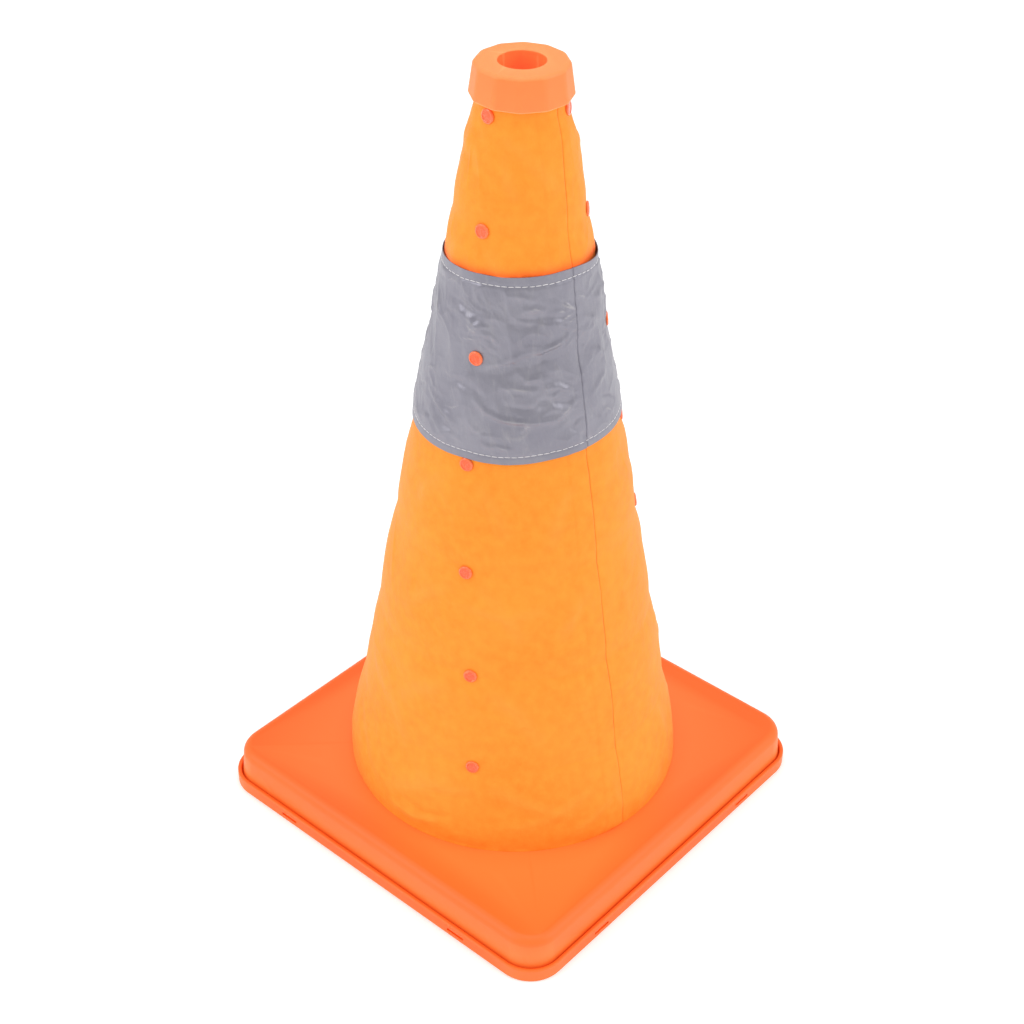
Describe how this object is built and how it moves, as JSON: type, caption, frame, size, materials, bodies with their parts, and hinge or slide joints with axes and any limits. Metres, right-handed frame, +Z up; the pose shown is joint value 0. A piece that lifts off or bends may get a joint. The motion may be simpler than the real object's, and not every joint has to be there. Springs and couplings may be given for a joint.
{
  "type": "collapsible traffic cone",
  "caption": "Telescoping safety cone: cloth cover with a reflective band riveted to nested tapered rings, on a square two-part base, with a faceted cap.",
  "frame": {"origin": "middle of the base's underside, on the floor", "axes": "+Z up along the cone, X and Y along the base's sides"},
  "size_m": [0.25, 0.25, 0.4572],
  "materials": {
    "base_plastic": "fine-grained moulded orange plastic",
    "ring_plastic": "moulded orange plastic",
    "cover_cloth": "coated orange woven cloth, slightly wrinkled",
    "reflective_band": "grey retroreflective cloth, creased",
    "rivet_plastic": "glossy moulded",
    "cap_plastic": "soft satin plastic"
  },
  "bodies": {
    "base": {"base_shell": "base_plastic", "base_tray": "base_plastic", "retaining_ring": "ring_plastic", "cover_hem": "cover_cloth"},
    "ring_1": {"ring_1": "ring_plastic", "rivet_1_a": "rivet_plastic", "rivet_1_b": "rivet_plastic", "rivet_1_c": "rivet_plastic", "cap": "cap_plastic", "cover_top": "cover_cloth"},
    "ring_2": {"ring_2": "ring_plastic", "rivet_2_a": "rivet_plastic", "rivet_2_b": "rivet_plastic", "rivet_2_c": "rivet_plastic", "cover_stretch_1": "cover_cloth"},
    "ring_3": {"ring_3": "ring_plastic", "rivet_3_a": "rivet_plastic", "rivet_3_b": "rivet_plastic", "rivet_3_c": "rivet_plastic", "cover_stretch_2": "cover_cloth", "band_upper": "reflective_band"},
    "ring_4": {"ring_4": "ring_plastic", "rivet_4_a": "rivet_plastic", "rivet_4_b": "rivet_plastic", "rivet_4_c": "rivet_plastic", "cover_stretch_3": "cover_cloth", "band_lower": "reflective_band"},
    "ring_5": {"ring_5": "ring_plastic", "rivet_5_a": "rivet_plastic", "rivet_5_b": "rivet_plastic", "rivet_5_c": "rivet_plastic", "cover_stretch_4": "cover_cloth"},
    "ring_6": {"ring_6": "ring_plastic", "rivet_6_a": "rivet_plastic", "rivet_6_b": "rivet_plastic", "rivet_6_c": "rivet_plastic", "cover_stretch_5": "cover_cloth"},
    "ring_7": {"ring_7": "ring_plastic", "rivet_7_a": "rivet_plastic", "rivet_7_b": "rivet_plastic", "rivet_7_c": "rivet_plastic", "cover_stretch_6": "cover_cloth"}
  },
  "joints": [
    {"name": "ring_7_slide", "type": "slide", "parent": "base", "child": "ring_7", "axis": [0, 0, -1], "range_m": [0, 0.02], "deforming": ["cover_hem"]},
    {"name": "ring_6_slide", "type": "slide", "parent": "ring_7", "child": "ring_6", "axis": [0, 0, -1], "range_m": [0, 0.061], "deforming": ["cover_stretch_6"]},
    {"name": "ring_5_slide", "type": "slide", "parent": "ring_6", "child": "ring_5", "axis": [0, 0, -1], "range_m": [0, 0.061], "deforming": ["cover_stretch_5"]},
    {"name": "ring_4_slide", "type": "slide", "parent": "ring_5", "child": "ring_4", "axis": [0, 0, -1], "range_m": [0, 0.061], "deforming": ["cover_stretch_4"]},
    {"name": "ring_3_slide", "type": "slide", "parent": "ring_4", "child": "ring_3", "axis": [0, 0, -1], "range_m": [0, 0.061], "deforming": ["cover_stretch_3", "band_lower"]},
    {"name": "ring_2_slide", "type": "slide", "parent": "ring_3", "child": "ring_2", "axis": [0, 0, -1], "range_m": [0, 0.061], "deforming": ["cover_stretch_2", "band_upper"]},
    {"name": "ring_1_slide", "type": "slide", "parent": "ring_2", "child": "ring_1", "axis": [0, 0, -1], "range_m": [0, 0.061], "deforming": ["cover_stretch_1"]}
  ]
}
